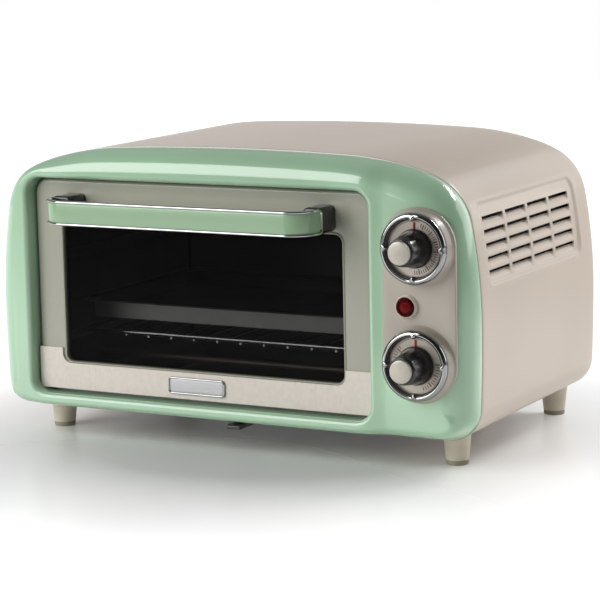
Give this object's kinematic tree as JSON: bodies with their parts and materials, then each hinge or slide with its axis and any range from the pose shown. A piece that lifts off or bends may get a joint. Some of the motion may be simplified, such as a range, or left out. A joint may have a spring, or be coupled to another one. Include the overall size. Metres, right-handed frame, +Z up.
{
  "type": "toaster oven",
  "caption": "Compact counter-top toaster oven with a drop-down glazed door, bowed handle, two dial controls, rounded steel casing, wire rack, baking tray and crumb tray.",
  "frame": {"origin": "centre of the bounding box at the bottom of the feet", "axes": "+X to the right as the door is faced, +Y to the back, +Z up"},
  "size_m": [0.381, 0.271, 0.2165],
  "materials": {
    "casing_enamel": "satin",
    "base_steel": "satin",
    "rear_steel": "satin",
    "front_green": "gloss",
    "strip_beige": "satin",
    "door_enamel": "satin",
    "plate_enamel": "satin",
    "bright_chrome": "polished",
    "dial_metal": "brushed",
    "grip_black": "gloss",
    "cap_silver": "satin",
    "pointer_red": "gloss",
    "lamp_white": "gloss",
    "lamp_red": "gloss",
    "lamp_glass": "clear",
    "window_glass": "tinted",
    "liner_steel": "galvanised",
    "rail_steel": "satin",
    "heater_sheath": "oxidised",
    "ceramic": "matte",
    "rack_chrome": "polished",
    "tray_enamel": "enamel",
    "tray_steel": "satin",
    "black_plastic": "satin",
    "foot_plastic": "satin",
    "foot_rubber": "matte",
    "screw_steel": "plated",
    "hinge_brass": "polished",
    "spring_steel": "oiled",
    "mechanism_steel": "zinc plated",
    "terminal_nylon": "matte"
  },
  "bodies": {
    "casing": {"outer_casing": "casing_enamel", "base_pan": "base_steel", "rear_panel": "rear_steel", "rear_screws": "screw_steel", "front_fascia": "front_green", "control_strip": "strip_beige", "timer_bezel": "bright_chrome", "timer_dial": "dial_metal", "thermostat_bezel": "bright_chrome", "thermostat_dial": "dial_metal", "timer_mechanism": "mechanism_steel", "thermostat": "mechanism_steel", "indicator_bezel": "lamp_white", "indicator_lens": "lamp_red", "indicator_lamp": "lamp_glass", "cavity_liner": "liner_steel", "cavity_front_frame": "liner_steel", "shelf_rail_left": "rail_steel", "shelf_rail_right": "rail_steel", "upper_heaters": "heater_sheath", "lower_heaters": "heater_sheath", "heater_insulators": "ceramic", "heat_shield": "liner_steel", "cable_gland": "black_plastic", "terminal_block": "terminal_nylon", "hinge_bracket_left": "mechanism_steel", "hinge_bracket_right": "mechanism_steel", "door_springs": "spring_steel", "foot_front_left": "foot_plastic", "foot_front_right": "foot_plastic", "foot_rear_left": "foot_plastic", "foot_rear_right": "foot_plastic", "foot_pads": "foot_rubber", "foot_screws": "screw_steel", "crumb_tray_rails": "liner_steel"},
    "door": {"door_frame": "door_enamel", "door_glass": "window_glass", "glass_retainer": "liner_steel", "door_lower_plate": "plate_enamel", "badge_plate": "bright_chrome", "hinge_pins": "hinge_brass", "handle_strip": "front_green", "handle_trim_top": "bright_chrome", "handle_trim_bottom": "bright_chrome", "handle_bracket_left": "black_plastic", "handle_bracket_right": "black_plastic", "handle_screws": "screw_steel"},
    "timer_knob": {"timer_shaft": "mechanism_steel", "timer_grip": "grip_black", "timer_cap": "cap_silver", "timer_pointer": "pointer_red"},
    "thermostat_knob": {"thermostat_shaft": "mechanism_steel", "thermostat_grip": "grip_black", "thermostat_cap": "cap_silver", "thermostat_pointer": "pointer_red"},
    "rack": {"wire_rack": "rack_chrome"},
    "tray": {"baking_tray": "tray_enamel"},
    "crumb_drawer": {"crumb_tray": "tray_steel", "crumb_tray_tab": "black_plastic"}
  },
  "joints": [
    {"name": "door_hinge", "type": "hinge", "parent": "casing", "child": "door", "pos_m": [-0.0211, -0.0911, 0.0404], "axis": [1, 0, 0], "range_deg": [0, 85], "stiffness_Nm_per_rad": 0.04, "springref_deg": -114.59},
    {"name": "timer_turn", "type": "hinge", "parent": "casing", "child": "timer_knob", "pos_m": [0.1548, -0.1155, 0.1567], "axis": [0, 1, 0], "range_deg": [0, 330], "stiffness_Nm_per_rad": 0.004, "springref_deg": -28.65},
    {"name": "thermostat_turn", "type": "hinge", "parent": "casing", "child": "thermostat_knob", "pos_m": [0.1548, -0.1155, 0.0772], "axis": [0, 1, 0], "range_deg": [0, 270]},
    {"name": "rack_slide", "type": "slide", "parent": "casing", "child": "rack", "axis": [0, -1, 0], "range_m": [0, 0.092]},
    {"name": "tray_slide", "type": "slide", "parent": "casing", "child": "tray", "axis": [0, -1, 0], "range_m": [0, 0.12]},
    {"name": "crumb_slide", "type": "slide", "parent": "casing", "child": "crumb_drawer", "axis": [0, -1, 0], "range_m": [0, 0.135]}
  ],
  "couplings": [
    {"joint": "rack_slide", "follows": "door_hinge", "m_per_rad": 0.0606},
    {"joint": "tray_slide", "follows": "door_hinge", "m_per_rad": 0.08}
  ]
}
